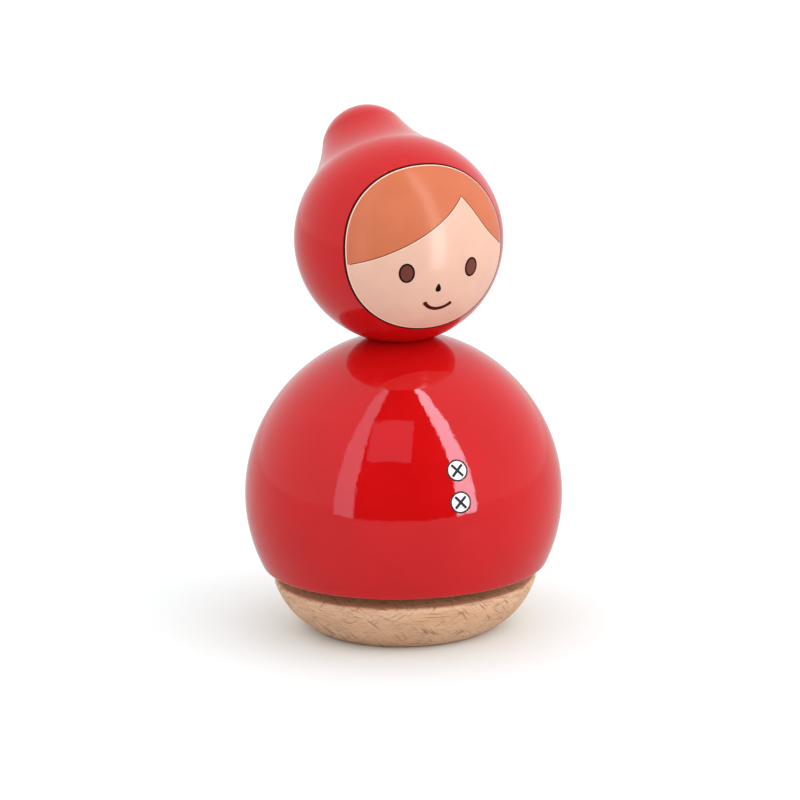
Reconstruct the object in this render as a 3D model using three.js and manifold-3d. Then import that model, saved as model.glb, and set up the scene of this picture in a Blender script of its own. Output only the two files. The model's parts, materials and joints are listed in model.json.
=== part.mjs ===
// A wooden doll music box. The doll is turned on its round base by hand to wind the spring inside,
// and turns back by itself while the pinned cylinder plays on the steel comb.
// Millimetres, +Z up. The origin is the centre of the base's underside, and the doll looks along -Y.
import * as THREE from "three";
import { mergeVertices } from "three/addons/utils/BufferGeometryUtils.js";
import Module from "manifold-3d";

const wasm = await Module();
wasm.setup();
const degrees = Math.PI / 180;

// Base: a shallow turned bowl with a flat foot
const baseHeight = 13.8;
const baseRimRadius = 35.5;
const baseFootRadius = 24;
const baseSideArcRadius = 21.9;
const baseRimChamfer = 0.6;
const turningGap = 3.2; // height of the open ring between the base and the doll

// Doll body: a ball cut flat at its foot, with its crown drawn up a little
const bodyRadius = 43;
const bodyCrownRise = 1.2; // how far the crown would stand above the ball
const bodyCentreRise = 19.6; // from the flat foot to the ball's centre
const footChamfer = 0.5;
const cavityRadius = 33.4;
const cavityDepth = 32.5;
const cavityRound = 3;

// Neck: flats where the two balls meet, and the dowel through them
const neckFlatRadius = 8.5;
const dowelRadius = 4;
const dowelLength = 26;
const dowelChamfer = 0.6;
const glueGap = 0.1; // around glued and pressed pieces

// Head: a ball with a rounded peak that leans back
const headRadius = 28;
const peakTilt = 46.3 * degrees;
const peakReach = 30; // from the ball's centre to the centre of the peak's round end
const peakRadius = 12.25;
const peakBlendRadius = 43;

// Face panel and buttons, let into the wood. Each is raised, and turned to the doll's left, by a small angle.
const faceHalfWidth = 51.8 * degrees;
const faceHalfHeight = 50.3 * degrees;
const faceSquareness = 2.2; // 2 would make its outline an ellipse
const faceRise = 2.7 * degrees;
const faceTurn = 0.4 * degrees;
const faceThickness = 0.8;
const inlayGap = 0.3; // under and around an inlaid piece
const buttonRadius = 2.9;
const buttonThickness = 1.2;
const buttonRound = 0.35;
const upperButtonRise = 20.7 * degrees;
const lowerButtonRise = 9.5 * degrees;
const buttonTurn = -1 * degrees;

// Closing plate, let into the foot of the body
const plateThickness = 3;
const plateRecess = 0.6;
const plateLedge = 0.7;

// Winding arbor, fixed in the base
const arborRadius = 2.5;
const arborEndRadius = 1.9;
const arborCoreRadius = 3.2;
const arborTopRadius = 2;
const arborTail = 0.8; // below the nut
const runningGap = 0.1; // between pieces that turn on each other
const endPlay = 0.15;
const nutAcrossFlats = 7;
const nutThickness = 2.4;
const washerRadius = 6.5;
const washerThickness = 0.8;
const recessRadius = 8;
const recessDepth = 5.5;
const thrustWasherRadius = 11;
const bushRadius = 4;

// Movement bedplate
const bedplateThickness = 2;
const bedplateBack = -20;
const bedplateHalfWidth = 25;
const wallGap = 0.5; // between the movement and the wall of the cavity
const plateScrewRadius = 1.2;
const plateScrewHeadRadius = 2.4;
const plateScrewSpots = [
  [-15, -18],
  [-15, 18],
  [27, 12],
];

// Spring housing and mainspring
const housingRadius = 10;
const housingHeight = 12.4;
const housingWall = 0.7;
const housingFlangeWidth = 1.6;
const springTurns = 5;
const springThickness = 0.45;
const springHeight = 9;
const springGap = 0.3; // to the arbor and to the housing

// Drive wheel with face teeth that point down, and the pinion that runs under them
const driveModule = 0.7;
const driveTeeth = 36;
const pinionTeeth = 12;
const driveToothLength = 3;
const driveDiscThickness = 1.2;
const driveRimWidth = 0.4;
const driveHubRadius = 4.4;
const driveRise = 1.9; // from the arbor's shoulder to the underside of the disc
const pinionWidth = 2.6;
const ratchetRadius = 5.2;
const ratchetTeeth = 12;
const ratchetThickness = 1.2;
const ratchetStep = 0.9;
const clickThickness = 0.8;
const clickWidth = 1;
const clickPivotRadius = 10.2;
const clickPivotAngle = 62 * degrees;
const clickEyeRadius = 1.6;
const rivetRadius = 0.8;
const rivetHeadRadius = 1.35;
const rivetHeadHeight = 0.8;
const clipThickness = 0.8;
const clipRadius = 3.6;
const clipGrooveDepth = 0.4;
const clipMouthWidth = 2.4;
const arborTip = 0.8; // above the clip

// Pinned cylinder
const cylinderRadius = 5.5;
const cylinderLength = 13;
const cylinderArborRadius = 1;
const cylinderGearTeeth = 40;
const trainModule = 0.4;
const cylinderGearWidth = 1.2;
const notes = 18;
const notePitch = 0.7;
const pinsPerNote = 2;
const pinSize = 0.3;
const pinHeight = 0.45;
const noteTurn = 0.9; // from one note's first pin to the next note's, in radians
const pinScatter = 0.3; // how unevenly a note's pins are spread, as a share of their spacing
const pinScatterStep = 5; // radians between the scatter of two notes
const bearingThickness = 0.9;
const bearingHalfWidth = 3;
const bearingMargin = 2.4; // metal above a bearing hole's axis
const sideGap = 0.25; // between turning pieces and the bearings beside them

// Comb
const combThickness = 1;
const toothGap = 0.22;
const pluckGap = 0.15; // from the pins to the comb's tips
const longestTooth = 9.5;
const shortestTooth = 6.5;
const combBackDepth = 5.5;
const combScrewInset = 2.4; // from the teeth's roots
const combScrewRadius = 1;
const combScrewDepth = 5; // of the holes in the comb's seat
const screwEndGap = 1; // from a comb screw's end to the bottom of its hole
const smallScrewHeadRadius = 1.7;
const smallScrewHeadHeight = 1;
const smallScrewSlotWidth = 0.7;
const combSeatStep = 0.5; // how far the comb stands out past its seat

// Governor: a small wheel that drives an upright worm with an air vane
const governorPinionTeeth = 8;
const wormWheelTeeth = 20;
const wormModule = 0.3;
const wormPitchRadius = 0.9;
const wormTurns = 6;
const wormThreadBase = 0.62; // width of the thread's foot, as a share of the pitch
const wormThreadFlank = 0.3; // width of both its flanks, as a share of the pitch
const wormPhase = 0.75; // where the thread starts, in turns, so that it clears the wheel's teeth
const wormWheelWidth = 1.2;
const governorArborRadius = 0.5;
const governorArborStep = 0.1; // how far it stands out past its pinion
const cheekThickness = 0.9;
const cheekGap = 0.5;
const frameFootThickness = 1.6;
const frameWall = 1.2;
const cheekFront = 1.6; // metal in front of the governor arbor
const cheekBack = 1.8; // metal behind its axis
const cheekRise = 2; // metal above its axis
const spindleWall = 1.6; // metal in front of the spindle's axis in the frame's top
const frameScrewEdge = 1.4; // metal past the frame screw's hole
const vaneRadius = 4;
const vaneHeight = 4;
const vaneThickness = 0.5;
const vaneHubRadius = 1.3;
const frameScrewRadius = 1;

// Tooth form
const pressureAngle = 20 * degrees;
const dedendum = 1.25;
const driveAddendum = 0.9;
const trainAddendum = 0.85;
const wormAddendum = 0.8;
const toothThinning = 0.16; // backlash, as a share of the pitch taken off every tooth

// Smoothness of round surfaces
const ballSides = 40;
const ringSides = 28;
const smallSides = 16;
const pinSides = 12;
const bodySteps = 18;
const headSteps = 14;
const peakSteps = 5;
const blendSteps = 4;
const faceSteps = 5;
const baseSteps = 8;
const roundSteps = 3;
const springStepsPerTurn = 20;
const wormStepsPerTurn = 7;

// How far a cutting shape runs past the piece that it cuts
const past = 1;

// Heights that follow from the sizes above
const bodyFootZ = baseHeight + turningGap;
const bodyCentreZ = bodyFootZ + bodyCentreRise;
const neckAngle = Math.acos(neckFlatRadius / (bodyRadius + bodyCrownRise));
const neckZ = bodyCentreZ + bodyReach(neckAngle) * Math.sin(neckAngle);
const headCentreZ = neckZ + Math.sqrt(headRadius ** 2 - neckFlatRadius ** 2);
const plateBottomZ = bodyFootZ + plateRecess;
const plateTopZ = plateBottomZ + plateThickness;
const bedTopZ = plateTopZ + bedplateThickness;
const housingTopZ = bedTopZ + housingHeight;
const arborShoulderZ = housingTopZ + endPlay;
const driveRootZ = arborShoulderZ + driveRise;
const driveTopZ = driveRootZ + driveDiscThickness;
const ratchetTopZ = driveTopZ + ratchetThickness;
const clipTopZ = ratchetTopZ + clipThickness;
const movementRadius = cavityRadius - wallGap;

// Drive wheel and cylinder line
const drivePitchRadius = (driveTeeth * driveModule) / 2;
const driveInnerRadius = drivePitchRadius - driveToothLength / 2;
const driveOuterRadius = drivePitchRadius + driveToothLength / 2 + driveRimWidth;
const pinionPitchRadius = (pinionTeeth * driveModule) / 2;
const cylinderAxisZ = driveRootZ - dedendum * driveModule - pinionPitchRadius;
const pinionStart = drivePitchRadius - pinionWidth / 2;
const innerBearingStart = pinionStart + pinionWidth + sideGap;
const gearStart = Math.max(innerBearingStart + bearingThickness + sideGap, driveOuterRadius + sideGap);
const cylinderStart = gearStart + cylinderGearWidth;
const cylinderEnd = cylinderStart + cylinderLength;
const outerBearingStart = cylinderEnd + sideGap;
const cylinderArborStart = pinionStart - sideGap;
const cylinderArborEnd = outerBearingStart + bearingThickness;

// Comb line
const combBottomZ = cylinderAxisZ - combThickness / 2;
const combTipY = -(cylinderRadius + pinHeight + pluckGap);
const combFirstX = cylinderStart + (cylinderLength - (notes - 1) * notePitch) / 2;
const combLastX = combFirstX + (notes - 1) * notePitch;

// Governor line
const gearPitchRadius = (cylinderGearTeeth * trainModule) / 2;
const governorPinionRadius = (governorPinionTeeth * trainModule) / 2;
const governorY = gearPitchRadius + governorPinionRadius;
const wormWheelRadius = (wormWheelTeeth * wormModule) / 2;
const wormPitch = Math.PI * wormModule;
const wormY = governorY + wormWheelRadius + wormPitchRadius;
const cheekStart = gearStart + cylinderGearWidth + cheekGap;
const wormWheelStart = cheekStart + cheekThickness + cheekGap;
const farCheekStart = wormWheelStart + wormWheelWidth + cheekGap;
const wormX = wormWheelStart + wormWheelWidth / 2;
const wormLength = wormTurns * wormPitch;
const vaneStartZ = cylinderAxisZ + wormLength / 2 + cheekGap;
const vaneTopZ = vaneStartZ + vaneHeight;
const frameTopZ = vaneTopZ + cheekGap + frameWall;
const frameBackY = wormY + vaneRadius + cheekGap;

const colours = {
  redPaint: [0xb5121c, 0.12, 0],
  beech: [0xd9b48a, 0.6, 0],
  birchPly: [0xd8c09a, 0.7, 0],
  facePrint: [0xf0c3a0, 0.3, 0],
  whitePaint: [0xf1efeb, 0.3, 0],
  steel: [0x9a9ca0, 0.35, 1],
  springSteel: [0x5c6670, 0.3, 1],
  brass: [0xc9a24b, 0.3, 1],
  zinc: [0xa9aaa6, 0.5, 1],
  nylon: [0xe9e6dc, 0.5, 0],
};

function material(name) {
  const [color, roughness, metalness] = colours[name];
  return new THREE.MeshStandardMaterial({ color, roughness, metalness });
}

function mesh(name, geometry, materialName) {
  const made = new THREE.Mesh(geometry, material(materialName));
  made.name = name;
  return made;
}

// Solid shapes

function turned(profile, sides = ringSides) {
  const points = profile.map(([r, z]) => new THREE.Vector2(r, z));
  return new THREE.LatheGeometry(points, sides).rotateX(Math.PI / 2);
}

function disc(radius, bottom, top, sides = ringSides) {
  return turned([[0, bottom], [radius, bottom], [radius, top], [0, top]], sides);
}

function ring(inner, outer, bottom, top, sides = ringSides) {
  return turned([[inner, bottom], [outer, bottom], [outer, top], [inner, top], [inner, bottom]], sides);
}

function block(x0, x1, y0, y1, z0, z1) {
  const box = new THREE.BoxGeometry(x1 - x0, y1 - y0, z1 - z0);
  return box.translate((x0 + x1) / 2, (y0 + y1) / 2, (z0 + z1) / 2);
}

function slab(shape, bottom, top) {
  const geometry = new THREE.ExtrudeGeometry(shape, { depth: top - bottom, bevelEnabled: false });
  return geometry.translate(0, 0, bottom);
}

function outline(points) {
  return new THREE.Shape(points.map(([x, y]) => new THREE.Vector2(x, y)));
}

function circleHole(x, y, radius, sides = smallSides) {
  const path = new THREE.Path();
  for (let i = 0; i < sides; i++) {
    const angle = (-2 * Math.PI * i) / sides;
    const point = [x + radius * Math.cos(angle), y + radius * Math.sin(angle)];
    if (i === 0) path.moveTo(...point);
    else path.lineTo(...point);
  }
  path.closePath();
  return path;
}

// Points on a circle about [r, z], from one angle to another
function arc(r, z, radius, from, to, steps) {
  return Array.from({ length: steps + 1 }, (_, i) => {
    const angle = from + ((to - from) * i) / steps;
    return [r + radius * Math.cos(angle), z + radius * Math.sin(angle)];
  });
}

// Joins and cuts

function toSolid(geometry) {
  const bare = geometry.clone();
  bare.deleteAttribute("normal");
  bare.deleteAttribute("uv");
  const merged = mergeVertices(bare, 1e-4);
  const vertProperties = new Float32Array(merged.attributes.position.array);
  const triVerts = new Uint32Array(merged.index.array);
  return new wasm.Manifold(new wasm.Mesh({ numProp: 3, vertProperties, triVerts }));
}

function toGeometry(solid) {
  const { vertProperties, triVerts } = solid.getMesh();
  const geometry = new THREE.BufferGeometry();
  geometry.setAttribute("position", new THREE.BufferAttribute(vertProperties, 3));
  geometry.setIndex(new THREE.BufferAttribute(triVerts, 1));
  geometry.computeVertexNormals();
  return geometry;
}

function join(...pieces) {
  return toGeometry(pieces.map(toSolid).reduce((whole, piece) => whole.add(piece)));
}

function cut(piece, ...tools) {
  return toGeometry(tools.map(toSolid).reduce((whole, tool) => whole.subtract(tool), toSolid(piece)));
}

function common(a, b) {
  return toGeometry(toSolid(a).intersect(toSolid(b)));
}

// A round bar along +X
function barAlongX(radius, x0, x1, y, z, sides = smallSides) {
  return disc(radius, x0, x1, sides)
    .rotateY(Math.PI / 2)
    .translate(0, y, z);
}

// Involute gear outline, with a tooth centred on the angle turn
function gearShape(teeth, toothModule, addendum, turn, bore) {
  const pitchRadius = (teeth * toothModule) / 2;
  const rootRadius = pitchRadius - dedendum * toothModule;
  const tipRadius = pitchRadius + addendum * toothModule;
  const baseRadius = pitchRadius * Math.cos(pressureAngle);
  const involute = (angle) => Math.tan(angle) - angle;
  const halfPitchAngle = (Math.PI / (2 * teeth)) * (1 - toothThinning);
  const halfAngle = (radius) => {
    const angle = Math.acos(Math.min(1, baseRadius / radius));
    return halfPitchAngle + involute(pressureAngle) - involute(angle);
  };
  const flankRadii = [rootRadius, pitchRadius, tipRadius];
  const points = [];
  for (let i = 0; i < teeth; i++) {
    const centre = turn + (2 * Math.PI * i) / teeth;
    const side = (radius, way) => {
      const angle = centre + way * halfAngle(radius);
      points.push([radius * Math.cos(angle), radius * Math.sin(angle)]);
    };
    flankRadii.forEach((radius) => side(radius, -1));
    [...flankRadii].reverse().forEach((radius) => side(radius, 1));
  }
  const shape = outline(points);
  if (bore) shape.holes.push(circleHole(0, 0, bore, pinSides));
  return shape;
}

function rodProfile(steps) {
  // steps: [radius, z] pairs, each radius held up to that z
  const points = [];
  let z = steps[0][1];
  points.push([0, z]);
  for (const [radius, top] of steps.slice(1)) {
    points.push([radius, z]);
    points.push([radius, top]);
    z = top;
  }
  points.push([0, z]);
  return points;
}

// Base and its fixings

function base() {
  const [r0, z0, r1, z1] = [baseFootRadius, 0, baseRimRadius, baseHeight - baseRimChamfer];
  const chord = Math.hypot(r1 - r0, z1 - z0);
  const rise = Math.sqrt(baseSideArcRadius ** 2 - (chord / 2) ** 2);
  const centreR = (r0 + r1) / 2 - (rise * (z1 - z0)) / chord;
  const centreZ = (z0 + z1) / 2 + (rise * (r1 - r0)) / chord;
  const from = Math.atan2(z0 - centreZ, r0 - centreR);
  const to = Math.atan2(z1 - centreZ, r1 - centreR);
  const hole = arborEndRadius + glueGap;
  return turned(
    [
      [hole, recessDepth],
      [recessRadius, recessDepth],
      [recessRadius, 0],
      ...arc(centreR, centreZ, baseSideArcRadius, from, to, baseSteps),
      [baseRimRadius - baseRimChamfer, baseHeight],
      [hole, baseHeight],
      [hole, recessDepth],
    ],
    ballSides,
  );
}

function arborNut() {
  const points = [];
  const cornerRadius = nutAcrossFlats / Math.sqrt(3);
  for (let i = 0; i < 6; i++) {
    const angle = (i * Math.PI) / 3;
    points.push([cornerRadius * Math.cos(angle), cornerRadius * Math.sin(angle)]);
  }
  const shape = outline(points);
  shape.holes.push(circleHole(0, 0, arborEndRadius + glueGap));
  const top = recessDepth - washerThickness;
  return slab(shape, top - nutThickness, top);
}

function windingArbor() {
  const bottom = recessDepth - washerThickness - nutThickness - arborTail;
  const coreTop = housingTopZ - housingWall - endPlay;
  return turned(
    rodProfile([
      [0, bottom],
      [arborEndRadius, baseHeight],
      [arborRadius, bedTopZ + endPlay],
      [arborCoreRadius, coreTop],
      [arborRadius, arborShoulderZ],
      [arborTopRadius, ratchetTopZ],
      [arborTopRadius - clipGrooveDepth, clipTopZ],
      [arborTopRadius, clipTopZ + arborTip],
    ]),
    smallSides,
  );
}

// Drive wheel on the arbor

function driveWheel() {
  const bore = arborTopRadius + glueGap;
  const rim = driveOuterRadius;
  const body = turned(
    [
      [bore, arborShoulderZ],
      [driveHubRadius, arborShoulderZ],
      [driveHubRadius, driveRootZ],
      [rim, driveRootZ],
      [rim, driveTopZ],
      [bore, driveTopZ],
      [bore, arborShoulderZ],
    ],
    ballSides,
  );
  const pitch = Math.PI * driveModule;
  const halfAtPitch = (pitch / 4) * (1 - toothThinning);
  const slope = Math.tan(pressureAngle);
  const rootHalf = halfAtPitch + dedendum * driveModule * slope;
  const tipHalf = halfAtPitch - driveAddendum * driveModule * slope;
  const depth = (dedendum + driveAddendum) * driveModule;
  const sunk = driveDiscThickness / 2; // how far a tooth's root runs into the disc
  const teeth = [];
  for (let i = 0; i < driveTeeth; i++) {
    const section = outline([
      [-rootHalf, sunk],
      [-rootHalf, 0],
      [-tipHalf, -depth],
      [tipHalf, -depth],
      [rootHalf, 0],
      [rootHalf, sunk],
    ]);
    // the section's x runs round the wheel, its y up, and its depth outwards
    const tooth = slab(section, driveInnerRadius, driveInnerRadius + driveToothLength);
    tooth.rotateX(Math.PI / 2).rotateZ(Math.PI / 2);
    tooth.rotateZ((2 * Math.PI * i) / driveTeeth);
    teeth.push(tooth.translate(0, 0, driveRootZ));
  }
  const spot = clickSpot();
  const rivetHole = disc(rivetRadius + glueGap, driveRootZ - past, driveTopZ + past, pinSides);
  return cut(join(body, ...teeth), rivetHole.translate(...spot));
}

function clickSpot() {
  return [clickPivotRadius * Math.cos(clickPivotAngle), clickPivotRadius * Math.sin(clickPivotAngle), 0];
}

function ratchetWheel() {
  const points = [];
  for (let i = 0; i < ratchetTeeth; i++) {
    const angle = (2 * Math.PI * i) / ratchetTeeth;
    const low = ratchetRadius - ratchetStep;
    points.push([low * Math.cos(angle), low * Math.sin(angle)]);
    points.push([ratchetRadius * Math.cos(angle), ratchetRadius * Math.sin(angle)]);
  }
  const shape = outline(points);
  shape.holes.push(circleHole(0, 0, arborTopRadius + glueGap));
  return slab(shape, driveTopZ, ratchetTopZ);
}

function clickSpring() {
  const [x, y] = clickSpot();
  const eye = disc(clickEyeRadius, driveTopZ, driveTopZ + clickThickness, smallSides).translate(x, y, 0);
  const reach = clickPivotRadius - ratchetRadius - inlayGap;
  const arm = block(-reach, 0, -clickWidth / 2, clickWidth / 2, driveTopZ, driveTopZ + clickThickness);
  arm.rotateZ(clickPivotAngle).translate(x, y, 0);
  const holeTop = driveTopZ + clickThickness + past;
  const hole = disc(rivetRadius + glueGap, driveTopZ - past, holeTop, pinSides);
  return cut(join(eye, arm), hole.translate(x, y, 0));
}

function clickRivet() {
  const headBottom = driveTopZ + clickThickness;
  const profile = rodProfile([
    [0, driveRootZ],
    [rivetRadius, headBottom],
    [rivetHeadRadius, headBottom + rivetHeadHeight],
  ]);
  return turned(profile, pinSides).translate(...clickSpot());
}

function arborClip() {
  const inner = arborTopRadius - clipGrooveDepth + glueGap;
  const whole = ring(inner, clipRadius, ratchetTopZ, clipTopZ, smallSides);
  const half = clipMouthWidth / 2;
  const mouth = block(0, clipRadius + past, -half, half, ratchetTopZ - past, clipTopZ + past);
  return cut(whole, mouth);
}

// Doll: the turned wooden pieces

// From the ball's centre to the body's surface, in a direction raised from level by an angle
function bodyReach(angle) {
  return bodyRadius + bodyCrownRise * Math.max(0, Math.sin(angle)) ** 4;
}

function bodyShell() {
  const foot = -bodyCentreRise;
  const footRadius = Math.sqrt(bodyRadius ** 2 - bodyCentreRise ** 2);
  const neck = neckZ - bodyCentreZ;
  const dowelHole = dowelRadius + glueGap;
  const dowelEnd = neck - dowelLength / 2 - glueGap;
  const ceiling = foot + cavityDepth;
  const plateTop = plateTopZ - bodyCentreZ;
  const footAngle = -Math.asin((bodyCentreRise - footChamfer) / bodyRadius);
  const outer = [];
  for (let i = 0; i <= bodySteps; i++) {
    const angle = neckAngle + ((footAngle - neckAngle) * i) / bodySteps;
    outer.push([bodyReach(angle) * Math.cos(angle), bodyReach(angle) * Math.sin(angle)]);
  }
  const profile = [
    [0, dowelEnd],
    [dowelHole, dowelEnd],
    [dowelHole, neck],
    ...outer,
    [footRadius - footChamfer, foot],
    [cavityRadius + plateLedge, foot],
    [cavityRadius + plateLedge, plateTop],
    [cavityRadius, plateTop],
    ...arc(cavityRadius - cavityRound, ceiling - cavityRound, cavityRound, 0, Math.PI / 2, roundSteps),
    [0, ceiling],
  ];
  const pockets = [buttonPocket(upperButtonRise), buttonPocket(lowerButtonRise)];
  return cut(turned(profile.reverse(), ballSides), ...pockets);
}

// Turns a piece that points along +Z so that it points forwards (-Y), raised and turned by two angles
function facing(geometry, rise, turn) {
  return geometry.rotateX(Math.PI / 2 - rise).rotateZ(turn);
}

function buttonPocket(rise) {
  const floor = bodyRadius - buttonThickness - inlayGap;
  return facing(disc(buttonRadius + inlayGap, floor, bodyRadius + past, smallSides), rise, buttonTurn);
}

function button() {
  const top = bodyRadius;
  const bottom = top - buttonThickness;
  return turned(
    [
      [0, bottom],
      [buttonRadius, bottom],
      [buttonRadius, top - buttonRound],
      [buttonRadius - buttonRound, top],
      [0, top],
    ],
    smallSides,
  );
}

// The head's profile along the peak's axis, from the back of the ball to the peak's end
function headProfile() {
  const [ball, end, blend] = [headRadius, peakRadius, peakBlendRadius];
  const along = ((ball + blend) ** 2 - (end + blend) ** 2 + peakReach ** 2) / (2 * peakReach);
  const out = Math.sqrt((ball + blend) ** 2 - along ** 2);
  const ballAngle = Math.atan2(along, out);
  const endAngle = Math.atan2(along - peakReach, out);
  return [
    ...arc(0, 0, ball, -Math.PI / 2, ballAngle, headSteps),
    ...arc(out, along, blend, Math.PI + ballAngle, Math.PI + endAngle, blendSteps).slice(1),
    ...arc(0, peakReach, end, endAngle, Math.PI / 2, peakSteps).slice(1),
  ];
}

function head() {
  const profile = headProfile();
  profile[0][0] = 0;
  profile[profile.length - 1][0] = 0;
  const ball = turned(profile, ballSides).rotateX(-peakTilt);
  const flat = neckZ - headCentreZ;
  const below = block(-headRadius, headRadius, -headRadius, headRadius, -headRadius - past, flat);
  const dowelEnd = flat + dowelLength / 2 + glueGap;
  const dowelHole = disc(dowelRadius + glueGap, flat - past, dowelEnd, ringSides);
  return cut(ball, below, dowelHole, facePocket());
}

// The face's outline: its half angle in a direction across its front
function faceReach(direction) {
  const across = Math.abs(Math.cos(direction)) / faceHalfWidth;
  const up = Math.abs(Math.sin(direction)) / faceHalfHeight;
  return (across ** faceSquareness + up ** faceSquareness) ** (-1 / faceSquareness);
}

// A dish-shaped layer of the ball's surface about +Z, out to the face's outline and a margin past it
function faceLayer(inner, outer, margin) {
  const top = Math.PI / 2;
  const edge = top - faceHalfWidth;
  const layer = [...arc(0, 0, inner, top, edge, faceSteps), ...arc(0, 0, outer, edge, top, faceSteps)];
  const geometry = turned(layer, ringSides);
  const spots = geometry.attributes.position;
  for (let i = 0; i < spots.count; i++) {
    const spot = new THREE.Vector3().fromBufferAttribute(spots, i);
    const direction = Math.atan2(spot.y, spot.x);
    const spread = (faceReach(direction) + margin) / faceHalfWidth;
    const away = Math.atan2(Math.hypot(spot.x, spot.y), spot.z) * spread;
    const reach = spot.length();
    const across = reach * Math.sin(away);
    spots.setXYZ(i, across * Math.cos(direction), across * Math.sin(direction), reach * Math.cos(away));
  }
  return geometry;
}

function facePocket() {
  const bottom = headRadius - faceThickness - inlayGap;
  return facing(faceLayer(bottom, headRadius + past, inlayGap / headRadius), faceRise, faceTurn);
}

function facePanel() {
  return facing(faceLayer(headRadius - faceThickness, headRadius, 0), faceRise, faceTurn);
}

function neckDowel() {
  const half = dowelLength / 2;
  return turned(
    [
      [0, -half],
      [dowelRadius - dowelChamfer, -half],
      [dowelRadius, -half + dowelChamfer],
      [dowelRadius, half - dowelChamfer],
      [dowelRadius - dowelChamfer, half],
      [0, half],
    ],
    smallSides,
  );
}

// Closing plate and the pieces on it

function closingPlate() {
  const plate = ring(
    bushRadius + glueGap,
    cavityRadius + plateLedge - glueGap,
    plateBottomZ,
    plateTopZ,
    ballSides,
  );
  const holes = plateScrewSpots.map(([x, y]) =>
    turned(
      [
        [0, plateBottomZ - past],
        [plateScrewHeadRadius + past + glueGap, plateBottomZ - past],
        [plateScrewRadius + glueGap, plateBottomZ + plateScrewHeadRadius - plateScrewRadius],
        [plateScrewRadius + glueGap, plateTopZ + past],
        [0, plateTopZ + past],
      ],
      smallSides,
    ).translate(x, y, 0),
  );
  return cut(plate, ...holes);
}

function plateScrew() {
  const headDepth = plateScrewHeadRadius - plateScrewRadius;
  const body = turned(
    [
      [0, plateBottomZ],
      [plateScrewHeadRadius, plateBottomZ],
      [plateScrewRadius, plateBottomZ + headDepth],
      [plateScrewRadius, bedTopZ],
      [0, bedTopZ],
    ],
    smallSides,
  );
  const slotWidth = plateScrewRadius / 2;
  const reach = plateScrewHeadRadius + past;
  return cut(
    body,
    block(-reach, reach, -slotWidth / 2, slotWidth / 2, plateBottomZ - past, plateBottomZ + headDepth / 2),
  );
}

function bearingPost(start, halfWidth, y, axisZ, margin, holeRadius, thickness) {
  const end = start + thickness;
  const post = block(start, end, y - halfWidth, y + halfWidth, bedTopZ - past, axisZ + margin);
  return [post, barAlongX(holeRadius, start - past, end + past, y, axisZ, pinSides)];
}

function bedplate() {
  const outlineBox = block(
    bedplateBack,
    movementRadius,
    -bedplateHalfWidth,
    bedplateHalfWidth,
    plateTopZ,
    bedTopZ,
  );
  const plate = common(outlineBox, disc(movementRadius, plateTopZ, bedTopZ, ballSides));
  const hole = cylinderArborRadius + runningGap;
  const [innerPost, innerHole] = bearingPost(
    innerBearingStart,
    bearingHalfWidth,
    0,
    cylinderAxisZ,
    bearingMargin,
    hole,
    bearingThickness,
  );
  const [outerPost, outerHole] = bearingPost(
    outerBearingStart,
    bearingHalfWidth,
    0,
    cylinderAxisZ,
    bearingMargin,
    hole,
    bearingThickness,
  );
  const riser = slab(combSeatShape(), bedTopZ - past, combBottomZ);
  const screwHoles = plateScrewSpots.map(([x, y]) =>
    disc(plateScrewRadius + glueGap, plateTopZ - past, bedTopZ + past, smallSides).translate(x, y, 0),
  );
  const combHoleBottom = combBottomZ - combScrewDepth;
  const combHoles = combScrewSpots().map(([x, y]) =>
    disc(combScrewRadius + glueGap, combHoleBottom, combBottomZ + past, pinSides).translate(x, y, 0),
  );
  const [frameX, frameY] = frameScrewSpot();
  const frameHole = disc(frameScrewRadius + glueGap, plateTopZ - past, bedTopZ + past, pinSides);
  return cut(
    join(plate, innerPost, outerPost, riser),
    innerHole,
    outerHole,
    disc(bushRadius + glueGap, plateTopZ - past, bedTopZ + past, ringSides),
    frameHole.translate(frameX, frameY, 0),
    ...screwHoles,
    ...combHoles,
  );
}

function arborBush() {
  return ring(arborRadius + runningGap, bushRadius, plateBottomZ, bedTopZ, smallSides);
}

// Spring housing and mainspring

function springHousing() {
  const inner = housingRadius - housingWall;
  const hole = arborRadius + runningGap;
  const ceiling = housingTopZ - housingWall;
  return turned([
    [inner, bedTopZ],
    [housingRadius + housingFlangeWidth, bedTopZ],
    [housingRadius + housingFlangeWidth, bedTopZ + housingWall],
    [housingRadius, bedTopZ + housingWall],
    [housingRadius, housingTopZ],
    [hole, housingTopZ],
    [hole, ceiling],
    [inner, ceiling],
    [inner, bedTopZ],
  ]);
}

function mainspring() {
  const start = arborCoreRadius + springGap + springThickness / 2;
  const end = housingRadius - housingWall - springGap - springThickness / 2;
  const steps = springTurns * springStepsPerTurn;
  const side = (offset) =>
    Array.from({ length: steps + 1 }, (_, i) => {
      const radius = start + ((end - start) * i) / steps + offset;
      const angle = (2 * Math.PI * i) / springStepsPerTurn;
      return [radius * Math.cos(angle), radius * Math.sin(angle)];
    });
  const shape = outline([...side(springThickness / 2), ...side(-springThickness / 2).reverse()]);
  const middle = (bedTopZ + housingTopZ - housingWall) / 2;
  return slab(shape, middle - springHeight / 2, middle + springHeight / 2);
}

// Comb

// Where the teeth of the comb meet its back, for a tooth at x
function combRootY(x) {
  const share = (x - combFirstX) / (combLastX - combFirstX);
  return combTipY - longestTooth + (longestTooth - shortestTooth) * share;
}

// The widest point of the movement's circle at the depth y
function reachAt(y) {
  return Math.sqrt(movementRadius ** 2 - y ** 2);
}

// The comb's back, kept inside the movement's circle at its outer corner
function combBackPoints(inset) {
  const backY = combTipY - longestTooth - combBackDepth + inset;
  const innerX = combFirstX - notePitch / 2 + inset;
  const outerX = combLastX + notePitch / 2 - inset;
  const cornerY = -Math.sqrt(movementRadius ** 2 - outerX ** 2);
  const cornerX = Math.min(outerX, reachAt(backY) - inset);
  return { backY, innerX, outerX, cornerY, cornerX };
}

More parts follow.
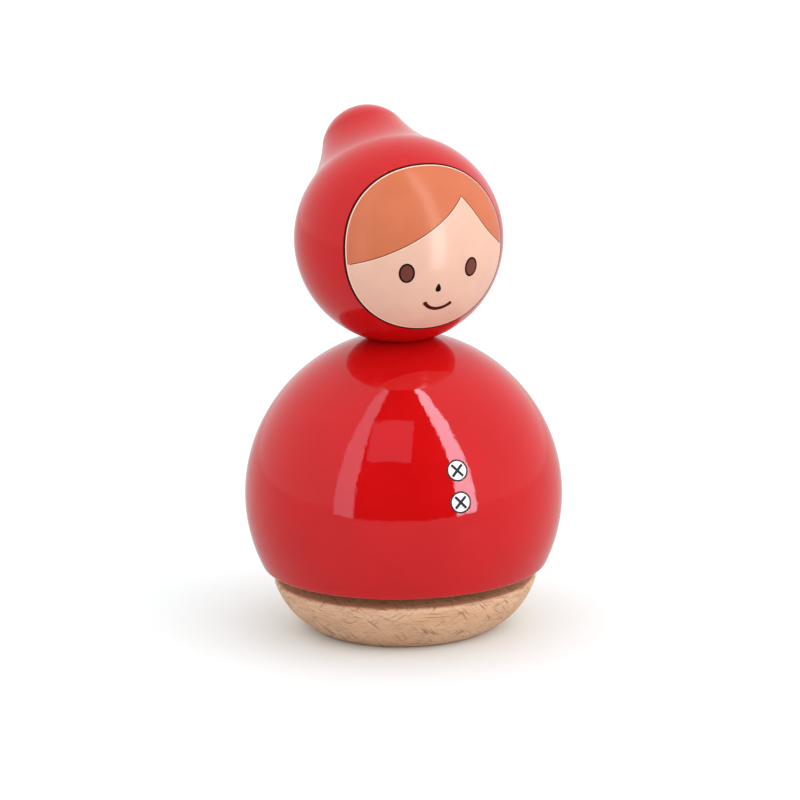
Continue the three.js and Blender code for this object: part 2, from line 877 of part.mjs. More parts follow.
function combSeatShape() {
  const { backY, innerX, cornerX } = combBackPoints(combSeatStep);
  const frontY = combTipY - longestTooth - combSeatStep;
  return outline([
    [innerX, backY],
    [cornerX, backY],
    [reachAt(frontY) - combSeatStep, frontY],
    [innerX, frontY],
  ]);
}

function combScrewSpots() {
  const { innerX } = combBackPoints(0);
  const y = combTipY - longestTooth - combScrewInset;
  const inset = smallScrewHeadRadius + combSeatStep;
  return [
    [innerX + inset, y],
    [reachAt(y - smallScrewHeadRadius) - inset, y],
  ];
}

function comb() {
  const { backY, innerX, outerX, cornerY, cornerX } = combBackPoints(0);
  const points = [
    [innerX, backY],
    [cornerX, backY],
    [outerX, cornerY],
  ];
  const halfTooth = (notePitch - toothGap) / 2;
  for (let i = notes - 1; i >= 0; i--) {
    const x = combFirstX + i * notePitch;
    points.push([x + halfTooth, combRootY(x)]);
    points.push([x + halfTooth, combTipY]);
    points.push([x - halfTooth, combTipY]);
    points.push([x - halfTooth, combRootY(x)]);
  }
  points.push([innerX, combRootY(combFirstX)]);
  const shape = outline(points);
  combScrewSpots().forEach(([x, y]) => shape.holes.push(circleHole(x, y, combScrewRadius + glueGap)));
  return slab(shape, combBottomZ, combBottomZ + combThickness);
}

// A cheese-head screw that stands on z = 0 under its head
function slottedScrew(shankRadius, shankLength, headRadius, headHeight) {
  const body = turned(
    rodProfile([
      [0, -shankLength],
      [shankRadius, 0],
      [headRadius, headHeight],
    ]),
    smallSides,
  );
  const half = smallScrewSlotWidth / 2;
  const reach = headRadius + past;
  return cut(body, block(-reach, reach, -half, half, headHeight / 2, headHeight + past));
}

// Pinned cylinder and what turns with it. Local +Z runs along the cylinder's axis.

function pinCylinder() {
  const bore = cylinderArborRadius + glueGap;
  const barrel = ring(bore, cylinderRadius, cylinderStart, cylinderEnd, ballSides);
  const pins = [];
  for (let note = 0; note < notes; note++) {
    for (let i = 0; i < pinsPerNote; i++) {
      const pin = new THREE.BoxGeometry(pinHeight * 2, pinSize, pinSize);
      pin.translate(cylinderRadius, 0, combFirstX + note * notePitch);
      const scatter = pinScatter * Math.sin(note * pinScatterStep + i);
      pins.push(pin.rotateZ(noteTurn * (note + 1) + (2 * Math.PI * (i + scatter)) / pinsPerNote));
    }
  }
  return join(barrel, ...pins);
}

function cylinderGear() {
  const shape = gearShape(cylinderGearTeeth, trainModule, trainAddendum, 0, cylinderArborRadius + glueGap);
  return slab(shape, gearStart, gearStart + cylinderGearWidth);
}

function cylinderPinion() {
  const turn = Math.PI / pinionTeeth;
  const shape = gearShape(pinionTeeth, driveModule, driveAddendum, turn, cylinderArborRadius + glueGap);
  return slab(shape, pinionStart, pinionStart + pinionWidth);
}

function cylinderArbor() {
  return disc(cylinderArborRadius, cylinderArborStart, cylinderArborEnd, pinSides);
}

// Governor

function governorWheel() {
  const pinionTurn = Math.PI / governorPinionTeeth;
  const pinionShape = gearShape(governorPinionTeeth, trainModule, trainAddendum, pinionTurn, 0);
  const pinion = slab(pinionShape, gearStart - sideGap, gearStart + cylinderGearWidth + sideGap);
  const wheelShape = gearShape(wormWheelTeeth, wormModule, wormAddendum, 0, 0);
  const wheel = slab(wheelShape, wormWheelStart, wormWheelStart + wormWheelWidth);
  const end = farCheekStart + cheekThickness;
  const arbor = disc(governorArborRadius, gearStart - sideGap - governorArborStep, end, pinSides);
  return join(arbor, pinion, twistedAbout(wheel, wormX));
}

// Slants a wheel's teeth to follow the worm's thread
function twistedAbout(geometry, middle) {
  const rate = wormPitch / (2 * Math.PI * wormPitchRadius) / wormWheelRadius;
  const position = geometry.attributes.position;
  const axis = new THREE.Vector3(0, 0, 1);
  for (let i = 0; i < position.count; i++) {
    const point = new THREE.Vector3().fromBufferAttribute(position, i);
    point.applyAxisAngle(axis, (point.z - middle) * rate);
    position.setXYZ(i, point.x, point.y, point.z);
  }
  return geometry;
}

// Upright spindle with a right-hand thread along its middle. Heights are taken from the wheel's axis.
function wormSpindle() {
  const sides = pinSides;
  const rootRadius = wormPitchRadius - wormModule;
  const tipRadius = wormPitchRadius + wormAddendum * wormModule;
  const foot = bedTopZ + sideGap - cylinderAxisZ;
  const head = frameTopZ - runningGap - cylinderAxisZ;
  const threadRows = wormTurns * wormStepsPerTurn;
  const rows = [foot];
  for (let i = 0; i <= threadRows; i++) rows.push(-wormLength / 2 + (wormLength * i) / threadRows);
  rows.push(head);
  const radiusAt = (z, angle) => {
    if (Math.abs(z) >= wormLength / 2) return governorArborRadius;
    const turn = z / wormPitch - angle / (2 * Math.PI) - wormPhase;
    const away = Math.abs(turn - Math.round(turn)) * 2; // 0 on the ridge, 1 in the groove
    const ridge = THREE.MathUtils.clamp((wormThreadBase - away) / wormThreadFlank, 0, 1);
    return rootRadius + (tipRadius - rootRadius) * ridge;
  };
  const vertices = [[0, 0, foot]];
  for (const z of rows) {
    for (let j = 0; j < sides; j++) {
      const angle = (2 * Math.PI * j) / sides;
      const radius = radiusAt(z, angle);
      vertices.push([radius * Math.cos(angle), radius * Math.sin(angle), z]);
    }
  }
  vertices.push([0, 0, head]);
  const at = (row, j) => 1 + row * sides + (j % sides);
  const last = vertices.length - 1;
  const faces = [];
  for (let j = 0; j < sides; j++) {
    faces.push(0, at(0, j + 1), at(0, j));
    faces.push(last, at(rows.length - 1, j), at(rows.length - 1, j + 1));
    for (let row = 0; row < rows.length - 1; row++) {
      faces.push(at(row, j), at(row, j + 1), at(row + 1, j + 1));
      faces.push(at(row, j), at(row + 1, j + 1), at(row + 1, j));
    }
  }
  const geometry = new THREE.BufferGeometry();
  geometry.setAttribute("position", new THREE.Float32BufferAttribute(vertices.flat(), 3));
  geometry.setIndex(faces);
  geometry.computeVertexNormals();
  return geometry;
}

function airVane() {
  const bottom = vaneStartZ - cylinderAxisZ;
  const top = bottom + vaneHeight;
  const half = vaneThickness / 2;
  const blades = block(-vaneRadius, vaneRadius, -half, half, bottom, top);
  const hub = disc(vaneHubRadius, bottom, top, smallSides);
  return cut(join(hub, blades), disc(governorArborRadius + glueGap, bottom - past, top + past, pinSides));
}

function frameScrewSpot() {
  return [farCheekStart + cheekThickness + smallScrewHeadRadius + inlayGap, wormY];
}

function governorFrame() {
  const x0 = cheekStart;
  const x1 = farCheekStart + cheekThickness;
  const backEnd = frameBackY + frameWall;
  const [screwX, screwY] = frameScrewSpot();
  const footEnd = screwX + frameScrewRadius + frameScrewEdge;
  const frontY = governorY - governorArborRadius - cheekFront;
  const cheekEnd = governorY + cheekBack;
  const cheekTop = cylinderAxisZ + cheekRise;
  const footTop = bedTopZ + frameFootThickness;
  const hole = governorArborRadius + runningGap;
  const pieces = [
    block(x0, footEnd, frontY, backEnd, bedTopZ, footTop),
    block(x0, x0 + cheekThickness, frontY, cheekEnd, bedTopZ, cheekTop),
    block(farCheekStart, x1, frontY, cheekEnd, bedTopZ, cheekTop),
    block(x0, x1, frameBackY, backEnd, bedTopZ, frameTopZ),
    block(x0, x1, wormY - spindleWall, backEnd, frameTopZ - frameWall, frameTopZ),
  ];
  return cut(
    join(...pieces),
    barAlongX(hole, x0 - past, x1 + past, governorY, cylinderAxisZ, pinSides),
    disc(hole, bedTopZ - past, frameTopZ + past, pinSides).translate(wormX, wormY, 0),
    disc(frameScrewRadius + glueGap, bedTopZ - past, footTop + past, pinSides).translate(screwX, screwY, 0),
  );
}

// Assembly

const musicBox = new THREE.Group();

const baseGroup = new THREE.Group();
baseGroup.add(
  mesh("base", base(), "beech"),
  mesh("winding_arbor", windingArbor(), "steel"),
  mesh("arbor_nut", arborNut(), "steel"),
  mesh(
    "arbor_washer",
    ring(arborEndRadius + glueGap, washerRadius, recessDepth - washerThickness, recessDepth),
    "steel",
  ),
  mesh(
    "thrust_washer",
    ring(arborRadius + glueGap, thrustWasherRadius, baseHeight, plateBottomZ - runningGap),
    "nylon",
  ),
  mesh("drive_wheel", driveWheel(), "brass"),
  mesh("ratchet_wheel", ratchetWheel(), "steel"),
  mesh("click_spring", clickSpring(), "springSteel"),
  mesh("click_rivet", clickRivet(), "brass"),
  mesh("arbor_clip", arborClip(), "springSteel"),
);
musicBox.add(baseGroup);

const dollGroup = new THREE.Group();
musicBox.add(dollGroup);

const bodyGroup = new THREE.Group();
bodyGroup.position.z = bodyCentreZ;
const buttonRises = { upper_button: upperButtonRise, lower_button: lowerButtonRise };
bodyGroup.add(mesh("body_shell", bodyShell(), "redPaint"));
for (const [name, rise] of Object.entries(buttonRises)) {
  bodyGroup.add(mesh(name, facing(button(), rise, buttonTurn), "whitePaint"));
}
dollGroup.add(bodyGroup);

const headGroup = new THREE.Group();
headGroup.position.z = headCentreZ;
headGroup.add(mesh("head", head(), "redPaint"), mesh("face_panel", facePanel(), "facePrint"));
dollGroup.add(headGroup);

const dowel = mesh("neck_dowel", neckDowel(), "beech");
dowel.position.z = neckZ;
dollGroup.add(dowel);

const movementGroup = new THREE.Group();
movementGroup.add(
  mesh("closing_plate", closingPlate(), "birchPly"),
  mesh("bedplate", bedplate(), "zinc"),
  mesh("arbor_bush", arborBush(), "brass"),
  mesh("spring_housing", springHousing(), "steel"),
  mesh("mainspring", mainspring(), "springSteel"),
  mesh("comb", comb(), "springSteel"),
  mesh("governor_frame", governorFrame(), "zinc"),
);
plateScrewSpots.forEach(([x, y], i) => {
  const screw = mesh("bedplate_screw_" + (i + 1), plateScrew(), "steel");
  screw.position.set(x, y, 0);
  movementGroup.add(screw);
});
combScrewSpots().forEach(([x, y], i) => {
  const geometry = slottedScrew(
    combScrewRadius,
    combThickness + combScrewDepth - screwEndGap,
    smallScrewHeadRadius,
    smallScrewHeadHeight,
  );
  const screw = mesh("comb_screw_" + (i + 1), geometry, "steel");
  screw.position.set(x, y, combBottomZ + combThickness);
  movementGroup.add(screw);
});
const frameScrew = mesh(
  "frame_screw",
  slottedScrew(
    frameScrewRadius,
    frameFootThickness + bedplateThickness,
    smallScrewHeadRadius,
    smallScrewHeadHeight,
  ),
  "steel",
);
frameScrew.position.set(...frameScrewSpot(), bedTopZ + frameFootThickness);
movementGroup.add(frameScrew);
dollGroup.add(movementGroup);

const cylinderGroup = new THREE.Group();
cylinderGroup.position.z = cylinderAxisZ;
cylinderGroup.rotation.y = Math.PI / 2;
cylinderGroup.add(
  mesh("pin_cylinder", pinCylinder(), "brass"),
  mesh("cylinder_arbor", cylinderArbor(), "steel"),
  mesh("cylinder_pinion", cylinderPinion(), "brass"),
  mesh("cylinder_gear", cylinderGear(), "brass"),
);
dollGroup.add(cylinderGroup);

const governorGroup = new THREE.Group();
governorGroup.position.set(0, governorY, cylinderAxisZ);
governorGroup.rotation.y = Math.PI / 2;
governorGroup.add(mesh("governor_wheel", governorWheel(), "brass"));
dollGroup.add(governorGroup);

const flyGroup = new THREE.Group();
flyGroup.position.set(wormX, wormY, cylinderAxisZ);
flyGroup.add(mesh("worm_spindle", wormSpindle(), "steel"), mesh("air_vane", airVane(), "nylon"));
dollGroup.add(flyGroup);

export default musicBox;
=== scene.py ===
"""The looks of the wooden doll music box: red lacquer, bare beech and a printed face, in a pale studio."""
import json
import math

import bmesh
import bpy
from mathutils import Matrix, Vector

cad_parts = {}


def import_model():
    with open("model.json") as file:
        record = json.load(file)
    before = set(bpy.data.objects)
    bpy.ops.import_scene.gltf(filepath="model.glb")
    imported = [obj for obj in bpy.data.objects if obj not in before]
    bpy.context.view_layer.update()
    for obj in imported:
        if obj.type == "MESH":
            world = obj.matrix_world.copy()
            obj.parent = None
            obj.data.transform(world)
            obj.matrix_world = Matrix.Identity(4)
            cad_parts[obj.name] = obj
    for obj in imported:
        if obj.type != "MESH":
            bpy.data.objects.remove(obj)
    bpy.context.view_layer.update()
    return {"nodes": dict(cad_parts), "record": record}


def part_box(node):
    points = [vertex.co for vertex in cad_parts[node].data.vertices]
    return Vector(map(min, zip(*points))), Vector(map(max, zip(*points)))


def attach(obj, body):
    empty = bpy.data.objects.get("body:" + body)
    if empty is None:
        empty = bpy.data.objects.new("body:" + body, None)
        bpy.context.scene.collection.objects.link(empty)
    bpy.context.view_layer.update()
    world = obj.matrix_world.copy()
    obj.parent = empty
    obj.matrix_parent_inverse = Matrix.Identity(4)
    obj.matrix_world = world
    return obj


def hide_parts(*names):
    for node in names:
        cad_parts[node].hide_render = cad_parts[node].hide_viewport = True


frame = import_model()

nodes = frame["nodes"]

# Camera, as in the photograph. Angles are in degrees, lens and sensor in millimetres, the rest in metres.
CAMERA_AZIMUTH = -21.5
CAMERA_ELEVATION = 13.2
CAMERA_ROLL = -1.119
CAMERA_DISTANCE = 1.1
CAMERA_LENS = 183.7
CAMERA_SENSOR = 36
CAMERA_SIDE = -0.00049
CAMERA_AIM_HEIGHT = 0.06221

# Turned wood, in metres. The rest of its sizes are read from the frame.
NECK_FLAT = 0.0085  # radius of the flat where the head sits on the body
CROWN_RISE = 0.0012  # how far the body's crown is drawn up
FOOT_ROUND = 0.00112  # reach of the round between the body's side and its foot
PLATE_LEDGE = 0.0341  # radius of the seat for the closing plate
CAVITY_RADIUS = 0.0334
CAVITY_DEPTH = 0.0325
CAVITY_BEVEL = 0.003
HEAD_RADIUS = 0.028
PEAK_TILT = math.radians(46.3)
PEAK_REACH = 0.030  # from the head's centre to the centre of the peak's round end
PEAK_RADIUS = 0.01225
PEAK_BLEND = 0.043  # radius of the hollow between the head and the peak
BASE_FOOT_RADIUS = 0.024
BASE_FOOT_BEVEL = 0.0006
BASE_SIDE_ARC = 0.0219
BASE_SIDE_START = 0.012  # angle along the side's arc at which the foot's bevel ends
BASE_RIM_ROUND = 0.0009
BASE_RECESS_RADIUS = 0.008
BASE_RECESS_DEPTH = 0.0055
BASE_RECESS_BEVEL = 0.0003
BASE_HOLE = 0.002  # radius of the hole for the winding arbor

# Steps round and along the turned pieces
TURNED_SIDES = 192
BODY_STEPS = 100
FOOT_STEPS = 6
HEAD_STEPS = 80
BLEND_STEPS = 24
PEAK_STEPS = 36
BASE_SIDE_STEPS = 40
BASE_RIM_STEPS = 8
SHARP_ANGLE = math.radians(35)
HEAD_SHARP_ANGLE = math.radians(60)

# Face: angles from the head's centre, and sizes in metres along its surface
FACE_HALF_WIDTH = math.radians(51.8)
FACE_HALF_HEIGHT = math.radians(50.3)
FACE_SQUARENESS = 2.2  # at 2 the outline is an ellipse
FACE_RISE = math.radians(2.7)
FACE_TURN = math.radians(0.4)
FACE_SIDES = 180
FACE_RINGS = 28
EDGE_LINE_WIDTH = 0.0007
HAIR_BORDER = 0.00034
HAIR_LINE_WIDTH = 0.00026
PALE_LINE_WIDTH = 0.0008
FRINGE_LEFT = math.radians(187.6)
FRINGE_RIGHT = math.radians(-3.0)
PARTING = (0.00927, 0.01411)
FRINGE_LEFT_PULL = (0.01088, 0.00234)
PARTING_LEFT_PULL = (-0.00815, -0.00901)
PARTING_RIGHT_PULL = (0.00592, -0.00732)
FRINGE_RIGHT_PULL = (-0.01024, 0.0056)
FRINGE_LEFT_STEPS = 44
FRINGE_RIGHT_STEPS = 28
HAIR_STEPS = 18
EYES = {"right_eye": (-0.0087, -0.0054), "left_eye": (0.0101, -0.0054)}
EYE_HALF_WIDTH = 0.00214
EYE_HALF_HEIGHT = 0.00272
EYE_LINE = 0.0005
EYE_SIDES = 64
EYE_RINGS = 4
NOSE = (0.0002, -0.01005)
NOSE_HALF_WIDTH = 0.0007
NOSE_HALF_HEIGHT = 0.00122
NOSE_TAPER = 0.5
NOSE_SIDES = 32
NOSE_RINGS = 3
SMILE = ((-0.0033, -0.0142), (-0.0014, -0.0176), (0.0026, -0.0173), (0.0050, -0.0151))
SMILE_WIDTH = 0.00105
SMILE_END_EXTRA = 0.0003
SMILE_END_SHARE = 0.12  # how far the thicker end reaches, as a share of half the smile
SMILE_TIP_SHARE = 0.06  # how far the round tip reaches, as a share of half the smile
SMILE_TIP = 0.02
SMILE_STEPS = 40

# Prints lie one on another. Each layer's height is given in lifts.
PRINT_LIFT = 0.00004
PRINT_SUNK = 0.00004
MERGE_DISTANCE = 0.0000005
EDGE_LINE_LAYER = 0.5
SKIN_LAYER = 1
FRINGE_BORDER_LAYER = 1.4
FACE_BORDER_LAYER = 1.5
PAINT_LAYER = 2
FRINGE_LINE_LAYER = 2.6
EYE_LAYER = 3

# Buttons, in metres along the body's surface
BUTTON_RISES = {"upper_button": math.radians(20.7), "lower_button": math.radians(9.5)}
BUTTON_TURN = math.radians(-1)
BUTTON_RADIUS = 0.0029
BUTTON_SIDES = 64
BUTTON_RINGS = 6
BUTTON_LIFT = 0.00006
# Width and layer of the dark ring round each button: painted shade standing in for a groove round its cap
BUTTON_SHADE_WIDTH = 0.00042
BUTTON_SHADE_LAYER = 1.4
STITCHES = {"_stitch_a": (math.radians(45), 1.5), "_stitch_b": (math.radians(-48), 1.8)}  # turn and layer
STITCH_REACH = 0.00215
STITCH_WIDTH = 0.0007
STITCH_END_SHARES = (0.55, 0.9)
STITCH_STEPS = 24

# Finishes. Colours are linear, depths are in metres.
BLACK = (0, 0, 0)
WHITE = (1, 1, 1)
LACQUER_TONES = ((0.3, (0.57, 0.0040, 0.0047)), (0.7, (0.615, 0.0052, 0.006)))
LACQUER_GLOSS = (0.02, 0.07)
LACQUER_SHEEN = (0.78, 0.90, 1.0, 1)
LACQUER_IOR = 1.44
PEEL_NOISE = (450, 3, 0.6)
PEEL_DEPTH = 0.000025
NIB_DENSITY = 105
NIB_SIZE = 0.030
NIB_HEIGHT = 0.00005
WOOD_IOR = 1.45
BEECH_TONES = ((0.25, (0.70, 0.415, 0.245)), (0.5, (0.79, 0.49, 0.30)), (0.8, (0.86, 0.59, 0.39)))
BEECH_FIGURE = (0.5, 1, 2.2)
BEECH_RELIEF = 0.00006
PORE_TONE = (0.38, 0.20, 0.11)
PORE_STRETCH = (0.06, 0.13, 1)
PORE_DIRECTIONS = ((44, 2100), (-42, 2400), (4, 3000))  # slant in degrees, and fineness
PORE_EDGE = (0.60, 0.74)
PRINT_IOR = 1.45

# Studio, in metres. Sides are measured across the camera's view, from the doll's axis.
FLOOR_SIZE = 6.0
FLOOR_TONE = (0.62, 0.62, 0.62)  # in the light that it throws back at the doll
FLOOR_SEEN = (0.94, 1.0, 1.0)  # to the camera
WORLD_STRENGTH = 1.03
# The front of the light tent, from low to high: how far ahead, how high, then the two sides of its bright left
# edge and the two sides of its bright right edge
CARD_ROWS = (
    (0.165, 0.025, -0.176, -0.105, 0.110, 0.187),
    (0.165, 0.16, -0.176, -0.100, 0.115, 0.189),
    (0.165, 0.25, -0.186, -0.108, 0.114, 0.188),
    (0.165, 0.42, -0.200, -0.120, 0.120, 0.216),
    (0.165, 0.90, -0.305, -0.165, 0.165, 0.290),
    (0.165, 1.82, -0.520, -0.270, 0.290, 0.540),
    (0.165, 3.5, -0.800, -0.480, 0.430, 0.850),
    (-0.05, 3.5, -0.560, -0.500, 0.400, 0.520),
)
EDGE_LEFT_GLOW = ((0.95, 1, 1.06), 2.6)
OPENING_GLOW = (WHITE, 0.0)
EDGE_RIGHT_GLOW = ((0.92, 1.0, 1.07), 10.5)
# The corners of a dim panel seen in the opening: how far across, and how high
PANEL_AHEAD = 0.164
PANEL_CORNERS = ((-0.086, 0.150), (0.016, 0.140), (0.043, 0.330), (-0.113, 0.355))
PANEL_GLOW = ((1, 0.9, 1), 0.9)
# Each light's angle to the camera's right, its rise, its spread, all in degrees, and its strength
SUNS = {"key_light": (60, 10, 80, 1.35), "top_light": (0, 88, 100, 0.3)}

base_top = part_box("base")[1]
body_low, body_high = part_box("body_shell")
BASE_RIM_RADIUS = base_top.x
BASE_HEIGHT = base_top.z
BODY_RADIUS = body_high.x
BODY_FOOT_Z = body_low.z
NECK_Z = body_high.z
NECK_ANGLE = math.acos(NECK_FLAT / (BODY_RADIUS + CROWN_RISE))


def body_reach(angle):
    """How far the body's surface stands from its centre: a ball, drawn up a little towards its crown."""
    return BODY_RADIUS + CROWN_RISE * max(0.0, math.sin(angle)) ** 4


BODY_CENTRE_Z = NECK_Z - body_reach(NECK_ANGLE) * math.sin(NECK_ANGLE)
HEAD_CENTRE_Z = NECK_Z + math.sqrt(HEAD_RADIUS**2 - NECK_FLAT**2)


# Mesh helpers

def make_object(name, vertices, faces, material, sharp=SHARP_ANGLE):
    mesh = bpy.data.meshes.new(name)
    mesh.from_pydata([tuple(v) for v in vertices], [], faces)
    mesh.validate()
    mesh.shade_smooth()
    mesh.set_sharp_from_angle(angle=sharp)
    made = bpy.data.objects.new(name, mesh)
    bpy.context.scene.collection.objects.link(made)
    made.data.materials.append(material)
    return made


def arc(r, z, radius, start, end, steps):
    angles = [start + (end - start) * i / steps for i in range(steps + 1)]
    return [(r + radius * math.cos(a), z + radius * math.sin(a)) for a in angles]


def rings_of(profile, place):
    """A profile turned about Z: its points, and for each of its corners the numbers of the points round it."""
    vertices, rings = [], []
    for r, z in profile:
        if r < 1e-9:
            rings.append([len(vertices)])
            vertices.append(place @ Vector((0, 0, z)))
            continue
        rings.append(list(range(len(vertices), len(vertices) + TURNED_SIDES)))
        for i in range(TURNED_SIDES):
            a = 2 * math.pi * i / TURNED_SIDES
            vertices.append(place @ Vector((r * math.cos(a), r * math.sin(a), z)))
    return vertices, rings


def faces_between(low, high):
    """The faces that join two neighbouring rings, either of which may be a single point on the axis."""
    if len(low) == 1 and len(high) == 1:
        return []
    faces = []
    for i in range(TURNED_SIDES):
        j = (i + 1) % TURNED_SIDES
        if len(low) == 1:
            faces.append((low[0], high[j], high[i]))
        elif len(high) == 1:
            faces.append((low[i], low[j], high[0]))
        else:
            faces.append((low[i], low[j], high[j], high[i]))
    return faces


def revolve(name, profile, material, place=None, sharp=SHARP_ANGLE):
    """A closed turned solid. The profile is (radius, z) pairs, in the order that keeps the wood on its left."""
    vertices, rings = rings_of(profile, place or Matrix.Identity(4))
    pairs = list(zip(rings, rings[1:]))
    if len(rings[0]) > 1:
        pairs.append((rings[-1], rings[0]))
    faces = []
    for low, high in pairs:
        faces += faces_between(low, high)
    return make_object(name, vertices, faces, material, sharp)


# Material helpers

def new_material(name):
    material = bpy.data.materials.new(name)
    material.use_nodes = True
    tree = material.node_tree
    shader = tree.nodes["Principled BSDF"]
    return material, tree, shader


def shaded(color, share):
    return tuple(min(1.0, c * share) for c in color)


def object_coordinates(tree, scale=(1, 1, 1), turn=(0, 0, 0)):
    """The place on the object, turned and then stretched, so that streaks keep to the turned axes."""
    coordinates = tree.nodes.new("ShaderNodeTexCoord")
    mapping = tree.nodes.new("ShaderNodeMapping")
    mapping.vector_type = "TEXTURE"
    mapping.inputs["Scale"].default_value = [1 / s for s in scale]
    mapping.inputs["Rotation"].default_value = turn
    tree.links.new(coordinates.outputs["Object"], mapping.inputs["Vector"])
    return mapping.outputs["Vector"]


def noise(tree, vector, scale, detail=3.0, roughness=0.5):
    node = tree.nodes.new("ShaderNodeTexNoise")
    node.inputs["Scale"].default_value = scale
    node.inputs["Detail"].default_value = detail
    node.inputs["Roughness"].default_value = roughness
    tree.links.new(vector, node.inputs["Vector"])
    return node.outputs["Fac"]


def ramp(tree, value, stops):
    node = tree.nodes.new("ShaderNodeValToRGB")
    while len(node.color_ramp.elements) < len(stops):
        node.color_ramp.elements.new(0.5)
    for element, (position, color) in zip(node.color_ramp.elements, stops):
        element.position = position
        element.color = (*color, 1)
    tree.links.new(value, node.inputs["Fac"])
    return node.outputs["Color"]


def span(tree, value, low, high):
    node = tree.nodes.new("ShaderNodeMapRange")
    node.inputs["To Min"].default_value = low
    node.inputs["To Max"].default_value = high
    tree.links.new(value, node.inputs["Value"])
    return node.outputs["Result"]


def bump(tree, shader, height, distance, below=None):
    node = tree.nodes.new("ShaderNodeBump")
    node.inputs["Distance"].default_value = distance
    node.inputs["Strength"].default_value = 1
    tree.links.new(height, node.inputs["Height"])
    if below is not None:
        tree.links.new(below, node.inputs["Normal"])
    tree.links.new(node.outputs["Normal"], shader.inputs["Normal"])
    return node.outputs["Normal"]


def mixed(tree, factor, first, second, mode="MIX"):
    """Two colours mixed. The factor and the colours may each be a fixed value or another node's output."""
    node = tree.nodes.new("ShaderNodeMix")
    node.data_type = "RGBA"
    node.blend_type = mode
    sockets = [s for s in node.inputs if s.type == "RGBA"]
    if isinstance(factor, float):
        node.inputs["Factor"].default_value = factor
    else:
        tree.links.new(factor, node.inputs["Factor"])
    for value, socket in zip((first, second), sockets):
        if isinstance(value, tuple):
            socket.default_value = (*value, 1)
        else:
            tree.links.new(value, socket)
    return next(s for s in node.outputs if s.type == "RGBA")


# Materials

def red_lacquer():
    """Sprayed gloss lacquer: a slight orange peel, and a few dust nibs caught in it."""
    material, tree, shader = new_material("red_lacquer")
    vector = object_coordinates(tree)
    color = ramp(tree, noise(tree, vector, scale=60, detail=2), LACQUER_TONES)
    tree.links.new(color, shader.inputs["Base Color"])
    gloss = span(tree, noise(tree, vector, scale=140, detail=3), *LACQUER_GLOSS)
    tree.links.new(gloss, shader.inputs["Roughness"])
    shader.inputs["IOR"].default_value = LACQUER_IOR
    shader.inputs["Specular Tint"].default_value = LACQUER_SHEEN
    peel = noise(tree, vector, *PEEL_NOISE)
    nib = tree.nodes.new("ShaderNodeTexVoronoi")
    nib.inputs["Scale"].default_value = NIB_DENSITY
    tree.links.new(vector, nib.inputs["Vector"])
    spot = ramp(tree, nib.outputs["Distance"], [(0.0, WHITE), (NIB_SIZE, BLACK)])
    lower = bump(tree, shader, peel, PEEL_DEPTH)
    bump(tree, shader, spot, NIB_HEIGHT, below=lower)
    return material


def beech(name, tone=1.0):
    """Bare beech with fine pores: short dark dashes that cross at a slant, in a paler figured ground."""
    material, tree, shader = new_material(name)
    figure = noise(tree, object_coordinates(tree, BEECH_FIGURE), scale=130, detail=4, roughness=0.6)
    ground = ramp(tree, figure, [(place, shaded(color, tone)) for place, color in BEECH_TONES])
    dashes = []
    for slant, fineness in PORE_DIRECTIONS:
        vector = object_coordinates(tree, PORE_STRETCH, (0, math.radians(slant), 0))
        dash = noise(tree, vector, fineness, detail=1.5)
        dashes.append(ramp(tree, dash, list(zip(PORE_EDGE, (BLACK, WHITE)))))
    crossed = mixed(tree, 1.0, dashes[0], dashes[1], "LIGHTEN")
    pores = mixed(tree, 1.0, crossed, dashes[2], "LIGHTEN")
    grain = mixed(tree, pores, ground, shaded(PORE_TONE, tone))
    tree.links.new(grain, shader.inputs["Base Color"])
    shader.inputs["Roughness"].default_value = 0.5
    shader.inputs["IOR"].default_value = WOOD_IOR
    lower = bump(tree, shader, figure, BEECH_RELIEF)
    bump(tree, shader, pores, -BEECH_RELIEF, below=lower)
    return material


def printed(name, color, roughness, shine):
    """Screen-printed colour under a thin lacquer, with a faint unevenness."""
    material, tree, shader = new_material(name)
    vector = object_coordinates(tree)
    cloud = noise(tree, vector, scale=120, detail=2)
    tone = ramp(tree, cloud, [(0.3, shaded(color, 0.96)), (0.7, shaded(color, 1.03))])
    tree.links.new(tone, shader.inputs["Base Color"])
    gloss = span(tree, noise(tree, vector, scale=200, detail=3), roughness - 0.04, roughness + 0.05)
    tree.links.new(gloss, shader.inputs["Roughness"])
    shader.inputs["IOR"].default_value = PRINT_IOR
    shader.inputs["Specular IOR Level"].default_value = shine
    bump(tree, shader, noise(tree, vector, *PEEL_NOISE), PEEL_DEPTH)
    return material


def metal(name, color, roughness, streaks):
    """Bare metal. Where the streaks are stretched, it has fine lines from turning or drawing."""
    material, tree, shader = new_material(name)
    vector = object_coordinates(tree, streaks)
    lines = noise(tree, vector, scale=300, detail=4)
    tone = ramp(tree, lines, [(0.3, shaded(color, 0.85)), (0.7, color)])
    tree.links.new(tone, shader.inputs["Base Color"])
    gloss = span(tree, noise(tree, vector, scale=500, detail=4), roughness * 0.7, roughness * 1.3)
    tree.links.new(gloss, shader.inputs["Roughness"])
    shader.inputs["Metallic"].default_value = 1
    bump(tree, shader, noise(tree, vector, scale=900, detail=3), distance=0.00001)
    return material


def birch_ply():
    """Bare plywood, with its grain drawn out one way."""
    material, tree, shader = new_material("birch_ply")
    grain = noise(tree, object_coordinates(tree, (1, 6, 3)), scale=400, detail=5, roughness=0.6)
    tone = ramp(tree, grain, [(0.3, (0.52, 0.38, 0.23)), (0.7, (0.70, 0.55, 0.36))])
    tree.links.new(tone, shader.inputs["Base Color"])
    shader.inputs["Roughness"].default_value = 0.7
    bump(tree, shader, grain, distance=0.00003)
    return material


